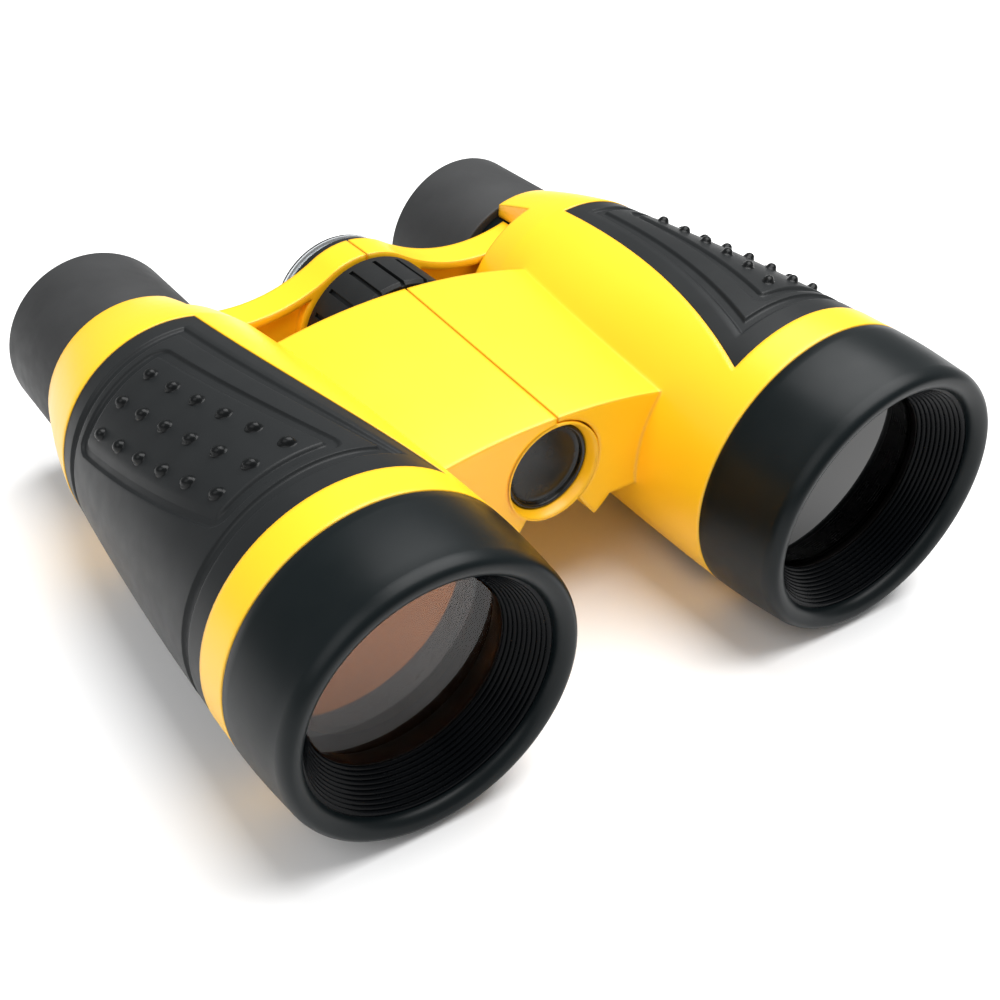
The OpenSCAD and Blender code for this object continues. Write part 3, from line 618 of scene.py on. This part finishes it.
# Cap in the hinge: its face, the corner at the face's edge, the rolled rim and the back
CAP_FACE_Y, CAP_BULGE, CAP_FACE_R, CAP_STEPS = 28.65, -0.12, 5.7, 8
CAP_CORNER, CAP_RIM = (5.9, 28.55), ((6.3, 28.15), 0.35, 10)
CAP_BACK = [(6.65, 30.4), (0.0, 30.4)]
CAP_SPIN = 64
# Compass dome: radius, foot, top of the skirt and of the crown, wall, and the roll between them
DOME_R, DOME_Y, SKIRT_Y, DOME_TOP, DOME_WALL = 11.75, 82.65, 85.25, 88.25, 0.9
DOME_ROUND, DOME_FALL, DOME_STEPS = 1.1, 1.6, 8
DOME_SPIN = 96


def cup_outline():
    """Outline of an eyecup: a straight sleeve, a soft rolled rim and a shoulder over the lens."""
    foot = roll(CUP_FOOT, -90, 0)
    return foot + roll(CUP_RIM, 0, 90) + roll(CUP_LIP, 90, 180) + CUP_INSIDE + foot[:1]


def eyecup(side, sign):
    """One eyecup."""
    piece = turned(side + "_eyecup_sleeve", cup_outline(), sign * BARREL_X, 0)
    dress(piece, side + "_ocular", "black_cup", cup_pp, side + "_eyecup")


def hinge_cap():
    """Disc that closes the front knuckle: a faintly domed face inside a raised rounded rim."""
    face = dish(CAP_FACE_Y, CAP_BULGE, CAP_FACE_R, CAP_STEPS)
    outline = face + [CAP_CORNER] + roll(CAP_RIM, -180, 0) + CAP_BACK
    piece = turned("hinge_cap", outline, 0, HINGE_Z, CAP_SPIN)
    dress(piece, "left_half", "black_cap", cap_abs, "front_cap")


def dome_line(inset):
    """Half outline of the compass dome from its top to its foot, set in by a wall's thickness."""
    edge = DOME_R - inset
    crown = dish(SKIRT_Y - DOME_ROUND / 2, DOME_TOP - inset - SKIRT_Y + DOME_ROUND / 2, edge)
    crown = [(r, y) for r, y in crown if r < edge - DOME_ROUND]
    r0, y0 = crown[-1]
    y1 = y0 - DOME_FALL * DOME_ROUND
    turns = [math.pi / 2 * i / DOME_STEPS for i in range(1, DOME_STEPS + 1)]
    corner = [(r0 + (edge - r0) * math.sin(a), y1 + (y0 - y1) * math.cos(a)) for a in turns]
    return crown + corner + [(edge, DOME_Y)]


def compass():
    """Clear dome of the compass: a shallow crown that rolls into a straight skirt."""
    outline = dome_line(0) + dome_line(DOME_WALL)[::-1]
    piece = turned("compass_cover", outline, 0, HINGE_Z, DOME_SPIN)
    dress(piece, "left_ocular", "clear_dome", dome_styrene, "compass_dome")


# The solids that stay as they are get their finish

kept = {
    yellow_abs: ("left_shell", "right_shell", "left_arm", "right_arm"),
    trim_abs: ("left_eyepiece_tube", "right_eyepiece_tube"),
    wheel_abs: ("focus_wheel",),
    cap_abs: ("compass_case",),
    eye_acrylic: ("left_eye_lens", "right_eye_lens"),
    steel: ("hinge_tube", "focus_screw", "screw_nut"),
    brass: ("compass_pivot",),
    dial_card(): ("compass_dial",),
    needle_paint(): ("compass_needle",),
}
for material, names in kept.items():
    for name in names:
        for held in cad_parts[name].material_slots:
            held.material = material

for side, sign in SIDES:
    objective(side, sign)
    grip(side, sign)
    eyecup(side, sign)
hinge_cap()
compass()


# Floor, light and camera, in metres

FLOOR_SIZE, FLOOR_TONE, FLOOR_CLOUD = 4, (0.9, 0.92), 60.0
# Lights: name, place, size and power; all of them aim at the middle of the part
LIGHTS = (("key", (0.14, 0.0, 0.5), 0.5, 5.0), ("fill", (-0.4, -0.1, 0.4), 0.4, 1.0))
LIGHT_AIM = Vector((0, 0, 0.02))
WORLD_STRENGTH = 0.38
# Camera: place, turn, lift and roll in degrees, and its optics
CAMERA_AT = (-0.0981, -0.13985, 0.128)
CAMERA_TURN, CAMERA_LIFT, CAMERA_ROLL = -31.09, 38.48, -0.68
SENSOR_W, FOCAL_LENGTH, CLIP_START = 36, 48.07, 0.01
SHIFT_X, SHIFT_Y = 0.127, 0.063


def studio():
    """A pale card floor under one wide soft light from above and the right, with even fill."""
    bpy.ops.object.select_all(action="DESELECT")
    bpy.ops.mesh.primitive_plane_add(size=FLOOR_SIZE)
    floor = bpy.context.object
    floor.name = "floor"
    # Uncoated white card: an even pale ground with no shine
    card, tree, shader, where = start_material("White card, matte", **{"Roughness": 0.9})
    tone = add_node(tree, "ShaderNodeMapRange", inputs={
        "Value": noise(tree, where, FLOOR_CLOUD),
        "To Min": FLOOR_TONE[0], "To Max": FLOOR_TONE[1]})
    tree.links.new(tone.outputs["Result"], shader.inputs["Base Color"])
    floor.data.materials.append(card)
    for name, at, size, power in LIGHTS:
        lamp = bpy.data.lights.new(name, "AREA")
        lamp.size, lamp.energy = size, power
        holder = bpy.data.objects.new(name, lamp)
        holder.location = at
        holder.rotation_euler = (LIGHT_AIM - Vector(at)).to_track_quat("-Z", "Y").to_euler()
        bpy.context.scene.collection.objects.link(holder)
    world = bpy.data.worlds.new("studio")
    world.use_nodes = True
    sky = world.node_tree.nodes["Background"]
    sky.inputs["Color"].default_value = (1, 1, 1, 1)
    sky.inputs["Strength"].default_value = WORLD_STRENGTH
    bpy.context.scene.world = world
    bpy.context.scene.view_settings.view_transform = "Standard"


def camera():
    """Camera at the photograph's place, found from rims and outlines in it."""
    turn, lift, tilt = (math.radians(a) for a in (CAMERA_TURN, CAMERA_LIFT, CAMERA_ROLL))
    back = Vector((math.sin(turn) * math.cos(lift), -math.cos(turn) * math.cos(lift),
                   math.sin(lift)))
    right = Vector((math.cos(turn), math.sin(turn), 0))
    up = back.cross(right)
    image_x = right * math.cos(tilt) + up * math.sin(tilt)
    image_y = up * math.cos(tilt) - right * math.sin(tilt)
    lens = bpy.data.cameras.new("camera")
    lens.sensor_width = SENSOR_W
    lens.lens = FOCAL_LENGTH
    lens.shift_x, lens.shift_y = SHIFT_X, SHIFT_Y
    lens.clip_start = CLIP_START
    holder = bpy.data.objects.new("camera", lens)
    facing = Matrix((image_x, image_y, back)).transposed().to_4x4()
    holder.matrix_world = Matrix.Translation(CAMERA_AT) @ facing
    bpy.context.scene.collection.objects.link(holder)
    bpy.context.scene.camera = holder


studio()
camera()
